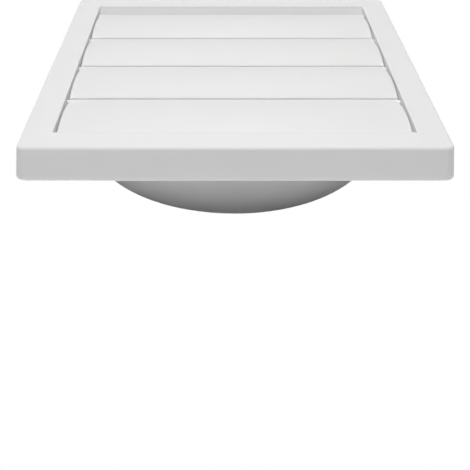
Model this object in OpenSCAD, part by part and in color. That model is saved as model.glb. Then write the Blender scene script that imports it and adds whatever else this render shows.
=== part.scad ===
// Louvred wall cap for a dryer duct: a square moulded frame with a round
// spigot behind it, and gravity flaps that hang on pins across its opening.
// Millimetres. Y = 0 is the wall, -Y the outside, +Z up, and the Y axis runs
// down the middle of the spigot.

/* [Front] */
// Width and height of the front face
face_w = 150; // [136:1:200]
// Width of the flat border round the opening
border = 10.85; // [9:0.05:16]
// How far the front face stands off the wall
depth = 12; // [11:0.5:20]
// How far each side of the skirt spreads out towards the wall
flare = 2; // [0.5:0.25:4]
// Radius of the upright corners at the front
corner_r = 2.5; // [1.5:0.5:6]
// Radius of the edge between the face and the skirt
edge_r = 1.2; // [0.4:0.1:2]

/* [Frame walls] */
// Thickness of the front face
face_t = 2.2; // [1.5:0.1:3]
// Thickness of the skirt
skirt_t = 2.2; // [1.2:0.1:3]
// Thickness of the walls round the opening
lining_t = 2.4; // [1.5:0.1:3]
// Thickness of the back plate
plate_t = 2.2; // [1.5:0.1:3]
// Thickness of the stiffening ribs in the hollow border
rib_t = 1.4; // [0.8:0.1:2.5]
// Ribs along each side of the border
rib_n = 4; // [1:1:8]
// How far the ribs stay back from the wall
rib_setback = 1.5; // [0.5:0.5:4]
// How far the sloped brow over the first flap comes down
brow_drop = 2.4; // [1:0.1:2.6]
// Depth of the brow's slope
brow_depth = 4.2; // [2:0.1:4.8]
// How far the slope starts behind the face
brow_setback = 0.4; // [0.2:0.1:1]

/* [Spigot] */
// Outside diameter of the spigot
spigot_d = 123; // [90:0.5:126]
// Length of the spigot behind the wall plane
spigot_l = 25; // [15:1:60]
// Wall thickness of the spigot
spigot_t = 2; // [1.2:0.1:3]
// Lead-in chamfer at the spigot's end
spigot_lead = 0.6; // [0.2:0.1:1]

/* [Fixing holes] */
// Diameter of the screw holes in the back plate
screw_d = 4.5; // [3:0.5:5.5]
// Distance of each screw hole from the two walls of its corner
screw_inset = 9.15; // [6:0.05:12]

/* [Flaps] */
// Thickness of the flap's skin
flap_t = 1.2; // [0.8:0.1:1.6]
// How far the front of a flap bulges
bulge = 1.8; // [1:0.1:3]
// Gap between the flap's end and the frame
side_gap = 0.3; // [0.2:0.1:1]
// Clear height above the first pivot
head = 6.65; // [6.5:0.05:9]
// Gap under the last flap
sill_gap = 0.4; // [0.3:0.1:1]
// Height of the flat ledge below the pivot
ledge_h = 2.4; // [1:0.1:3]
// How far the ledge lies behind the start of the bulge
ledge_step = 0.12; // [0.05:0.01:0.3]
// Radius of the rounded top edge, which turns about the pivot
knuckle_r = 1.2; // [1:0.05:1.5]
// Gap between a rounded top edge and the lip above it
lap_gap = 0.35; // [0.3:0.05:1]
// Height of the tongue above the pivot
tongue_h = 3.2; // [2.4:0.1:3.4]
// Gap between a lip and the tongue behind it
tongue_gap = 0.3; // [0.2:0.05:0.6]
// Depth of a flap's end cheeks behind its crest
cheek_d = 5.6; // [4.5:0.1:6.5]
// Height of a cheek's straight back edge, below the pivot
cheek_back = 11.8; // [6:0.2:16]
// Gap between a cheek's foot and the tongue below it
cheek_gap = 1.2; // [0.6:0.1:3]
// Radius of the flap's edge along its ends
end_r = 1.4; // [0.5:0.1:1.6]
// Radius of the flap's upper corners
shoulder_r = 1.5; // [1:0.1:4]
// Radius of the flap's lower corners
lip_corner_r = 0.8; // [0.4:0.1:1.5]
// Radius of the tongue's corners
tongue_corner_r = 1; // [0.5:0.1:2]
// Degrees that the last flap, which rests on the sill, leans further in than the others
last_lean = 1.5; // [0:0.25:2]

/* [Pivots] */
// Diameter of the pivot pins
pin_d = 2.2; // [1.6:0.1:2.3]
// Radial clearance of a pin in its socket
pin_gap = 0.07; // [0.03:0.01:0.1]
// How far a pin reaches into the frame
pin_reach = 1.5; // [1:0.1:1.6]
// How far a pin's root runs into the flap
pin_root = 1; // [0.6:0.1:2]

/* [Hidden] */
eps = 0.01;
// Number of flaps, one node for each
flap_n = 4;
// Steps of the rounded front edge
edge_steps = 6;
// How far a cutting shape reaches past what it cuts
over = 1;
// How far the forms of one moulding run into each other
bite = 0.5;

// Opening and border
open_w = face_w - 2 * border;
rim_w = face_w + 2 * flare;
rim_corner_r = corner_r + flare;
draft = atan(flare / depth);

// Spacing of the flaps down the opening
lap = knuckle_r + lap_gap;
pitch = (open_w + lap - head - sill_gap) / flap_n;
flap_w = open_w - 2 * side_gap;
flap_h = pitch - lap;
pivot_d = bulge + ledge_step + knuckle_r;
pivot_y = -depth + pivot_d;
function pivot_z(i) = open_w / 2 - head - i * pitch;

// Bulge: an arc through the ledge's foot and the lip, with its crest on the face
half_chord = (flap_h - ledge_h) / 2;
bulge_r = (half_chord * half_chord + bulge * bulge) / (2 * bulge);
arc_y = bulge_r - pivot_d;
arc_z = -(flap_h + ledge_h) / 2;
function arc_y_at(r, z) = arc_y - sqrt(r * r - (z - arc_z) * (z - arc_z));

// Rounded lip, and the tongue that it rests on
lip_z = -flap_h + flap_t / 2;
lip_y = arc_y_at(bulge_r - flap_t / 2, lip_z);
tongue_y = lip_y + flap_t / 2 + tongue_gap;
sill_y = pivot_y + tongue_y + flap_h * sin(last_lean);
cheek_y = cheek_d - pivot_d;
cheek_foot = -(pitch - tongue_h - cheek_gap);

screw_pitch = open_w - 2 * screw_inset;
plastic = [0.93, 0.93, 0.93];

// Outline of a square with rounded corners, centred
module round_square(w, h, r, fn = 48) {
    square([w - 2 * r, h], center = true);
    square([w, h - 2 * r], center = true);
    for (x = [-1, 1], z = [-1, 1])
        translate([x * (w / 2 - r), z * (h / 2 - r)]) circle(r = r, $fn = fn);
}

// Thin upright slice of the frame's outline, its front at y
module frame_slice(y, w, r) {
    translate([0, y + eps, 0]) rotate([90, 0, 0])
        linear_extrude(eps) round_square(w, w, r, 32);
}

// Upright block from y0 back to y1 with an outline drawn in X and Z
module upright(y0, y1) {
    translate([0, y1, 0]) rotate([90, 0, 0]) linear_extrude(y1 - y0) children();
}

// Bar along X with a section drawn in Y and Z
module along_x(w) {
    rotate([90, 0, 90]) translate([0, 0, -w / 2]) linear_extrude(w) children();
}

// Solid outer form of the face and skirt, with its rounded front edge
module outer_form() {
    centre_w = face_w + 2 * edge_r * (tan(draft) - 1 / cos(draft));
    hull() {
        for (a = [0 : (90 - draft) / edge_steps : 90 - draft + eps]) {
            w = centre_w + 2 * edge_r * sin(a);
            frame_slice(-depth + edge_r * (1 - cos(a)), w, corner_r + (w - face_w) / 2);
        }
        frame_slice(-eps, rim_w, rim_corner_r);
    }
}

// Space behind the face, inside the skirt
module inner_form(front) {
    w0 = face_w + 2 * flare * front / depth - 2 * skirt_t;
    hull() {
        frame_slice(-depth + front, w0, corner_r);
        frame_slice(over, rim_w - 2 * skirt_t, rim_corner_r - skirt_t / 2);
    }
}

// Stiffening ribs across the hollow border
module ribs() {
    intersection() {
        inner_form(face_t / 2);
        for (a = [0 : 90 : 270]) rotate([0, a, 0])
            for (i = [0 : rib_n - 1])
                translate([open_w * ((i + 0.5) / rib_n - 0.5) - rib_t / 2, -depth + face_t / 2, open_w / 2 + bite])
                    cube([rib_t, depth - rib_setback - face_t / 2, border + flare]);
    }
}

// Tube of the spigot, from the back plate to its chamfered end
module spigot() {
    rotate([-90, 0, 0]) translate([0, 0, -plate_t]) rotate_extrude($fn = 180)
        polygon([
            [spigot_d / 2 - spigot_t, 0],
            [spigot_d / 2, 0],
            [spigot_d / 2, spigot_l + plate_t - spigot_lead],
            [spigot_d / 2 - spigot_lead, spigot_l + plate_t],
            [spigot_d / 2 - spigot_t, spigot_l + plate_t]
        ]);
}

// Sloped brow along the top of the opening, which sheds rain over the first flap
module brow() {
    along_x(open_w + 2 * bite) polygon([
        [-depth + brow_setback, open_w / 2],
        [-depth + brow_setback + brow_depth, open_w / 2 - brow_drop],
        [-depth + brow_setback + brow_depth, open_w / 2 + bite],
        [-depth + brow_setback, open_w / 2 + bite]
    ]);
}

// One-piece frame: face, skirt, lining, brow, back plate, sill and spigot
module frame() {
    color(plastic) {
        difference() {
            union() {
                difference() {
                    outer_form();
                    inner_form(face_t);
                }
                upright(-depth + face_t / 2, 0)
                    square(open_w + 2 * lining_t, center = true);
                ribs();
            }
            upright(-depth - over, -plate_t) square(open_w, center = true);
            rotate([-90, 0, 0])
                cylinder(d = spigot_d - 2 * spigot_t, h = 3 * depth, center = true, $fn = 180);
            for (x = [-1, 1], z = [-1, 1])
                translate([x * screw_pitch / 2, 0, z * screw_pitch / 2]) rotate([90, 0, 0])
                    cylinder(d = screw_d, h = 3 * plate_t, center = true, $fn = 48);
            for (i = [0 : flap_n - 1], side = [-1, 1])
                translate([side * (open_w + lining_t) / 2, pivot_y, pivot_z(i)]) rotate([0, 90, 0])
                    cylinder(d = pin_d + 2 * pin_gap, h = lining_t + over, center = true, $fn = 48);
        }
        spigot();
        brow();
        // Sill that the last lip rests on
        translate([-open_w / 2 - bite, sill_y, -open_w / 2 - bite])
            cube([open_w + 2 * bite, flap_t, bite + sill_gap + tongue_h - lap]);
    }
}

// Side section of the flap's front: rounded top edge, ledge, bulge and lip
module flap_section() {
    circle(r = knuckle_r, $fn = 48);
    translate([-knuckle_r, -ledge_h - flap_t]) square([flap_t, ledge_h + flap_t]);
    intersection() {
        difference() {
            translate([arc_y, arc_z]) circle(r = bulge_r, $fn = 360);
            translate([arc_y, arc_z]) circle(r = bulge_r - flap_t, $fn = 360);
        }
        translate([-pivot_d - over, lip_z]) square([pivot_d + 2 * over, flap_h - ledge_h - flap_t / 2]);
    }
    translate([lip_y, lip_z]) circle(d = flap_t, $fn = 48);
}

// Side section of a cheek, trimmed to the bulge in front
module cheek_section() {
    intersection() {
        translate([arc_y, arc_z]) circle(r = bulge_r - flap_t / 2, $fn = 360);
        polygon([
            [-pivot_d, -ledge_h - ledge_step],
            [0, 0],
            [tongue_y + flap_t / 2, knuckle_r],
            [cheek_y, -knuckle_r],
            [cheek_y, -cheek_back],
            [arc_y_at(bulge_r - flap_t, cheek_foot), cheek_foot],
            [-pivot_d, cheek_foot]
        ]);
    }
}

// Round solid that rolls the flap's ends over, about the centre of the bulge
module end_roll() {
    translate([0, arc_y, arc_z]) rotate([0, 90, 0]) rotate_extrude($fn = 360) {
        translate([0, -flap_w / 2 + end_r]) square([bulge_r, flap_w - 2 * end_r]);
        translate([0, -flap_w / 2]) square([bulge_r - end_r, flap_w]);
        for (s = [-1, 1])
            translate([bulge_r - end_r, s * (flap_w / 2 - end_r)]) circle(r = end_r, $fn = 48);
    }
}

// Upright solid that rolls the ends of the ledge over to the same radius
module ledge_roll() {
    translate([0, 0, -ledge_h - flap_t]) linear_extrude(ledge_h + flap_t + knuckle_r + over) {
        translate([-flap_w / 2 + end_r, -knuckle_r]) square([flap_w - 2 * end_r, 2 * knuckle_r]);
        translate([-flap_w / 2, end_r - knuckle_r]) square([flap_w, 2 * knuckle_r]);
        for (s = [-1, 1])
            translate([s * (flap_w / 2 - end_r), end_r - knuckle_r]) circle(r = end_r, $fn = 48);
    }
}

// Outline of the flap from the front, with rounded corners
module flap_plan() {
    h = flap_h + knuckle_r;
    translate([0, knuckle_r - h / 2]) {
        round_square(flap_w, h, shoulder_r);
        translate([0, -h / 4]) round_square(flap_w, h / 2, lip_corner_r);
    }
}

// One flap, with its pivot on the X axis
module flap_body() {
    intersection() {
        union() {
            intersection() {
                union() {
                    along_x(flap_w) difference() {
                        flap_section();
                        translate([-pivot_d, -ledge_h]) square(2 * pivot_d + knuckle_r);
                    }
                    for (s = [-1, 1])
                        translate([s * (flap_w - flap_t) / 2, 0, 0]) along_x(flap_t) cheek_section();
                }
                end_roll();
            }
            intersection() {
                along_x(flap_w) intersection() {
                    flap_section();
                    translate([-pivot_d, -ledge_h - flap_t / 2]) square(2 * pivot_d + knuckle_r);
                }
                ledge_roll();
            }
        }
        upright(-pivot_d - over, cheek_y + over) flap_plan();
    }
    // Tongue behind the lip above
    upright(tongue_y, tongue_y + flap_t) translate([0, (tongue_h - knuckle_r) / 2])
        round_square(flap_w, tongue_h + knuckle_r, tongue_corner_r);
    // Pivot pins
    for (s = [-1, 1])
        translate([s * (flap_w / 2 - pin_root), 0, 0]) rotate([0, s * 90, 0])
            cylinder(d = pin_d, h = pin_root + side_gap + pin_reach, $fn = 48);
}

// Flap in its place in the opening, counted from the top
module flap(i) {
    lean = i == flap_n - 1 ? last_lean : 0;
    color(plastic) translate([0, pivot_y, pivot_z(i)]) rotate([lean, 0, 0]) flap_body();
}

frame();
flap(0);  // flap_1
flap(1);  // flap_2
flap(2);  // flap_3
flap(3);  // flap_4
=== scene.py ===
"""Looks of a louvred dryer vent cap: satin white mouldings under soft studio light.

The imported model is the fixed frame. Millimetres in the classes' fields become metres where a
mesh, a lamp or the camera is made. -Y is the outside of the wall, +Z is up.
"""

import logging
import math
from dataclasses import dataclass
from enum import Enum

import bpy
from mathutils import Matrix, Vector


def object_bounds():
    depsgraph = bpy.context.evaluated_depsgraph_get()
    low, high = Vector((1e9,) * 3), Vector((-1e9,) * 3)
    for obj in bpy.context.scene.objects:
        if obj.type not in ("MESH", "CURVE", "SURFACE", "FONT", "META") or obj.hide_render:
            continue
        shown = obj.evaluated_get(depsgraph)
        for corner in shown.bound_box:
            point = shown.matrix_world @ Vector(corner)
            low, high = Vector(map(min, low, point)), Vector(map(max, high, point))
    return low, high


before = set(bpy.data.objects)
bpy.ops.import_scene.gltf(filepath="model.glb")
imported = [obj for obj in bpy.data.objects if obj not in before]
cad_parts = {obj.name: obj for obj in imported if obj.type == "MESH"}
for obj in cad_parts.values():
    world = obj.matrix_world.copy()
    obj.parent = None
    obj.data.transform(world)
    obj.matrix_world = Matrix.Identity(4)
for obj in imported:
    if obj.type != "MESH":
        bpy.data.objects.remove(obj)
cad_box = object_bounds()

MM = 0.001
log = logging.getLogger("vent_cap")


class Moulding(Enum):
    """Kinds of moulding, as the nodes' names begin."""

    FRAME = "frame"
    FLAP = "flap"


def linear(hex_colour: str) -> tuple[float, float, float, float]:
    """Turns an sRGB hex colour into the linear RGBA that shaders take.

    Args:
        hex_colour: six hex digits with a leading #.

    Returns:
        Red, green, blue and an alpha of 1.
    """
    parts = [int(hex_colour[i : i + 2], 16) / 255 for i in (1, 3, 5)]
    values = [c / 12.92 if c <= 0.04045 else ((c + 0.055) / 1.055) ** 2.4 for c in parts]
    return (values[0], values[1], values[2], 1.0)


def add_node(
    tree: bpy.types.NodeTree,
    kind: str,
    settings: dict[str, object] | None = None,
    inputs: dict[str | int, object] | None = None,
) -> bpy.types.Node:
    """Adds one node, sets its properties and fills or links its inputs.

    Args:
        tree: node tree that gets the node.
        kind: Blender's type name of the node.
        settings: properties of the node.
        inputs: input names or numbers, with a value or an output socket to link.

    Returns:
        The new node.
    """
    node = tree.nodes.new(kind)
    for name, value in (settings or {}).items():
        setattr(node, name, value)
    for key, value in (inputs or {}).items():
        if isinstance(value, bpy.types.NodeSocket):
            tree.links.new(value, node.inputs[key])
        else:
            node.inputs[key].default_value = value
    return node


def seen_directly(tree: bpy.types.NodeTree) -> bpy.types.NodeSocket:
    """Tells the camera's, gloss's and glass's rays from those that carry light between surfaces.

    Args:
        tree: node tree of the floor or of the surroundings.

    Returns:
        An output that is 1 for the first kind and 0 for the second.
    """
    path = add_node(tree, "ShaderNodeLightPath")
    seen = path.outputs["Is Camera Ray"]
    for ray in ("Is Glossy Ray", "Is Transmission Ray"):
        either = add_node(
            tree,
            "ShaderNodeMath",
            settings={"operation": "MAXIMUM"},
            inputs={0: seen, 1: path.outputs[ray]},
        )
        seen = either.outputs[0]
    return seen


@dataclass(frozen=True)
class MouldedPlastic:
    """ABS injected into a fine-eroded steel mould: white, dense and satin.

    The steel's texture leaves a grain that spreads the highlights, the flow of the melt leaves
    very weak clouds in colour and gloss, edges come out slightly round, and light goes a little
    way into the white resin before it comes back.
    """

    name: str
    colour: str = "#F8F8F8"
    cloud_colour: str = "#F5F5F4"
    ior: float = 1.52
    # The eroded steel scatters much of the mirror-like part, so less of it is left
    gloss: float = 0.2
    roughness: float = 0.42
    roughness_spread: float = 0.06
    # The mould's grain is about 0.1 mm, drawn three times as coarse so that it shows
    grain_mm: float = 0.3
    grain_depth_mm: float = 0.004
    grain_detail: float = 2.0
    cloud_mm: float = 35.0
    cloud_detail: float = 3.0
    edge_mm: float = 0.3
    edge_samples: int = 8
    # All of the light that isn't mirrored goes this far into the resin, all colours alike
    glow_depth_mm: float = 0.6
    glow_share: float = 1.0
    glow_colours: tuple[float, float, float] = (1.0, 1.0, 1.0)

    def build(self) -> bpy.types.Material:
        """Makes the material.

        Returns:
            The procedural material, which reads Object coordinates.
        """
        material = bpy.data.materials.new(self.name)
        material.use_nodes = True
        tree = material.node_tree
        tree.nodes.clear()
        place = add_node(tree, "ShaderNodeTexCoord")
        clouds = add_node(
            tree,
            "ShaderNodeTexNoise",
            inputs={
                "Vector": place.outputs["Object"],
                "Scale": 1 / (self.cloud_mm * MM),
                "Detail": self.cloud_detail,
            },
        )
        tint = add_node(
            tree,
            "ShaderNodeMix",
            settings={"data_type": "RGBA"},
            inputs={0: clouds.outputs["Fac"], 6: linear(self.colour), 7: linear(self.cloud_colour)},
        )
        sheen = add_node(
            tree,
            "ShaderNodeMapRange",
            inputs={
                "Value": clouds.outputs["Fac"],
                "To Min": self.roughness - self.roughness_spread / 2,
                "To Max": self.roughness + self.roughness_spread / 2,
            },
        )
        grain = add_node(
            tree,
            "ShaderNodeTexNoise",
            inputs={
                "Vector": place.outputs["Object"],
                "Scale": 1 / (self.grain_mm * MM),
                "Detail": self.grain_detail,
            },
        )
        edge = add_node(
            tree,
            "ShaderNodeBevel",
            settings={"samples": self.edge_samples},
            inputs={"Radius": self.edge_mm * MM},
        )
        bump = add_node(
            tree,
            "ShaderNodeBump",
            inputs={
                "Height": grain.outputs["Fac"],
                "Distance": self.grain_depth_mm * MM,
                "Normal": edge.outputs["Normal"],
            },
        )
        shader = add_node(
            tree,
            "ShaderNodeBsdfPrincipled",
            inputs={
                "Base Color": tint.outputs[2],
                "Roughness": sheen.outputs["Result"],
                "Normal": bump.outputs["Normal"],
                "IOR": self.ior,
                "Specular IOR Level": self.gloss,
                "Subsurface Weight": self.glow_share,
                "Subsurface Radius": self.glow_colours,
                "Subsurface Scale": self.glow_depth_mm * MM,
            },
        )
        add_node(tree, "ShaderNodeOutputMaterial", inputs={"Surface": shader.outputs["BSDF"]})
        return material


@dataclass
class Softbox:
    """Square area lamp that points at one place."""

    name: str
    place_m: tuple[float, float, float]
    side_m: float
    watts: float
    target_m: tuple[float, float, float] = (0.0, 0.0, 0.0)

    def hang(self) -> bpy.types.Object:
        """Makes the lamp.

        Returns:
            The lamp's object, hidden from the camera.
        """
        data = bpy.data.lights.new(self.name, "AREA")
        data.shape = "SQUARE"
        data.size = self.side_m
        data.energy = self.watts
        lamp = bpy.data.objects.new(self.name, data)
        bpy.context.scene.collection.objects.link(lamp)
        lamp.location = self.place_m
        aim = Vector(self.target_m) - Vector(self.place_m)
        lamp.rotation_euler = aim.to_track_quat("-Z", "Y").to_euler()
        lamp.visible_camera = False
        return lamp


@dataclass
class Studio:
    """Camera, lamps, floor, ring board and surroundings."""

    surroundings_colour: str = "#FFFFFF"
    surroundings_shown: float = 1.0
    surroundings_light: float = 0.0
    floor_drop_m: float = 0.6
    floor_side_m: float = 8.0
    floor_colour: str = "#F4F4F4"
    # What the floor gives back to the cap's underside: nothing, so that its shade stays
    floor_bounce_colour: str = "#000000"
    floor_glow: float = 0.62
    floor_roughness: float = 0.9
    # The board stands just behind the spigot, and its hole clears the spigot's shade
    board_radius_m: float = 0.6
    board_hole_m: float = 0.076
    board_gap_m: float = 0.0005
    board_corners: int = 96
    board_colour: str = "#F4F4F4"
    board_glow: float = 0.1
    board_roughness: float = 1.0
    # Camera of the photograph: below and in front of the upright cap
    camera_m: tuple[float, float, float] = (-0.0048, -0.1393, -0.2998)
    camera_elevation_deg: float = -53.87
    lens_mm: float = 57.77
    sensor_mm: float = 36.0
    shift_x: float = 0.0291
    nearest_m: float = 0.01

    def lamps(self) -> list[Softbox]:
        """Lists the lamps: four in front, one of them lower and one to the left, and one behind."""
        return [
            Softbox("front_level", (0.0, -1.1, 0.0), 0.5, 4.0),
            Softbox("front_low", (0.0, -0.693, -0.4), 0.3, 2.25),
            Softbox("front_high", (0.0, -0.843, 0.707), 0.5, 2.6),
            Softbox("front_left", (-0.707, -0.843, 0.0), 0.5, 0.95),
            Softbox("behind_high", (-0.3, 0.9, 0.4), 0.6, 4.5),
        ]

    def build_world(self) -> None:
        """Sets a white background that camera and gloss see and that lights nothing."""
        scene = bpy.context.scene
        world = bpy.data.worlds.new("studio_surroundings")
        world.use_nodes = True
        tree = world.node_tree
        tree.nodes.clear()
        white = linear(self.surroundings_colour)
        light, shown = (
            add_node(tree, "ShaderNodeBackground", inputs={"Color": white, "Strength": strength})
            for strength in (self.surroundings_light, self.surroundings_shown)
        )
        mix = add_node(
            tree,
            "ShaderNodeMixShader",
            inputs={0: seen_directly(tree), 1: light.outputs[0], 2: shown.outputs[0]},
        )
        add_node(tree, "ShaderNodeOutputWorld", inputs={"Surface": mix.outputs[0]})
        scene.world = world
        scene.view_settings.view_transform = "Standard"

    def build_floor(self) -> bpy.types.Object:
        """Lays the pale floor, which glows for the camera alone and keeps the cap's shadow.

        Returns:
            The floor's object.
        """
        bpy.ops.object.select_all(action="DESELECT")
        bpy.ops.mesh.primitive_plane_add(size=self.floor_side_m, location=(0, 0, -self.floor_drop_m))
        floor = bpy.context.object
        floor.name = "studio_floor"
        material = bpy.data.materials.new("matt_floor_paint")
        material.use_nodes = True
        tree = material.node_tree
        seen = seen_directly(tree)
        paint = add_node(
            tree,
            "ShaderNodeMix",
            settings={"data_type": "RGBA"},
            inputs={0: seen, 6: linear(self.floor_bounce_colour), 7: linear(self.floor_colour)},
        )
        glow = add_node(
            tree,
            "ShaderNodeMath",
            settings={"operation": "MULTIPLY"},
            inputs={0: seen, 1: self.floor_glow},
        )
        shader = tree.nodes["Principled BSDF"]
        tree.links.new(paint.outputs[2], shader.inputs["Base Color"])
        tree.links.new(glow.outputs[0], shader.inputs["Emission Strength"])
        shader.inputs["Emission Color"].default_value = linear(self.floor_colour)
        shader.inputs["Roughness"].default_value = self.floor_roughness
        material.cycles.emission_sampling = "NONE"
        floor.data.materials.append(material)
        return floor

    def build_board(self) -> bpy.types.Object:
        """Stands a white ring behind the cap, which lights its skirt and its spigot.

        Returns:
            The board's object, hidden from the camera.
        """
        middle = (0, cad_box[1].y + self.board_gap_m, 0)
        bpy.ops.object.select_all(action="DESELECT")
        bpy.ops.mesh.primitive_circle_add(
            vertices=self.board_corners,
            radius=self.board_hole_m,
            location=middle,
            rotation=(math.radians(90), 0, 0),
        )
        board = bpy.context.object
        board.name = "reflector_board"
        bpy.ops.object.mode_set(mode="EDIT")
        bpy.ops.mesh.select_all(action="SELECT")
        bpy.ops.mesh.extrude_edges_move()
        spread = self.board_radius_m / self.board_hole_m
        bpy.ops.transform.resize(value=(spread, spread, spread), center_override=middle)
        bpy.ops.object.mode_set(mode="OBJECT")
        material = bpy.data.materials.new("matt_white_board")
        material.use_nodes = True
        shader = material.node_tree.nodes["Principled BSDF"]
        shader.inputs["Base Color"].default_value = linear(self.board_colour)
        shader.inputs["Roughness"].default_value = self.board_roughness
        shader.inputs["Emission Color"].default_value = linear(self.board_colour)
        shader.inputs["Emission Strength"].default_value = self.board_glow
        board.data.materials.append(material)
        board.visible_camera = False
        board.visible_glossy = False
        board.visible_shadow = False
        return board

    def build_camera(self) -> bpy.types.Object:
        """Puts the camera where the photograph was taken.

        Returns:
            The camera's object.
        """
        data = bpy.data.cameras.new("photo_camera")
        data.sensor_width = self.sensor_mm
        data.lens = self.lens_mm
        data.shift_x = self.shift_x
        data.clip_start = self.nearest_m
        data.dof.use_dof = False
        camera = bpy.data.objects.new("photo_camera", data)
        bpy.context.scene.collection.objects.link(camera)
        camera.location = self.camera_m
        camera.rotation_euler = (math.radians(90 - self.camera_elevation_deg), 0, 0)
        bpy.context.scene.camera = camera
        return camera

    def build(self) -> None:
        """Builds everything that isn't part of the object."""
        self.build_camera()
        self.build_world()
        self.build_floor()
        self.build_board()
        for lamp in self.lamps():
            lamp.hang()
            log.info("lamp %s, %.1f W", lamp.name, lamp.watts)


def main() -> None:
    """Builds the looks in order and reports each piece."""
    logging.basicConfig(level=logging.INFO, format="%(name)s: %(message)s")
    Studio().build()
    finishes = {
        Moulding.FRAME: MouldedPlastic("satin_abs_frame").build(),
        # The flaps take the frame's white a shade darker: painted shade that offsets the extra light
        # the thin flaps pass
        Moulding.FLAP: MouldedPlastic("satin_abs_flap_painted_shade", "#F4F4F4", "#F1F1F0").build(),
    }
    for name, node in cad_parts.items():
        node.data.materials.clear()
        node.data.materials.append(finishes[Moulding(name.split("_")[0])])
        log.info("%s: %d faces", name, len(node.data.polygons))


if __name__ == "__main__":
    main()
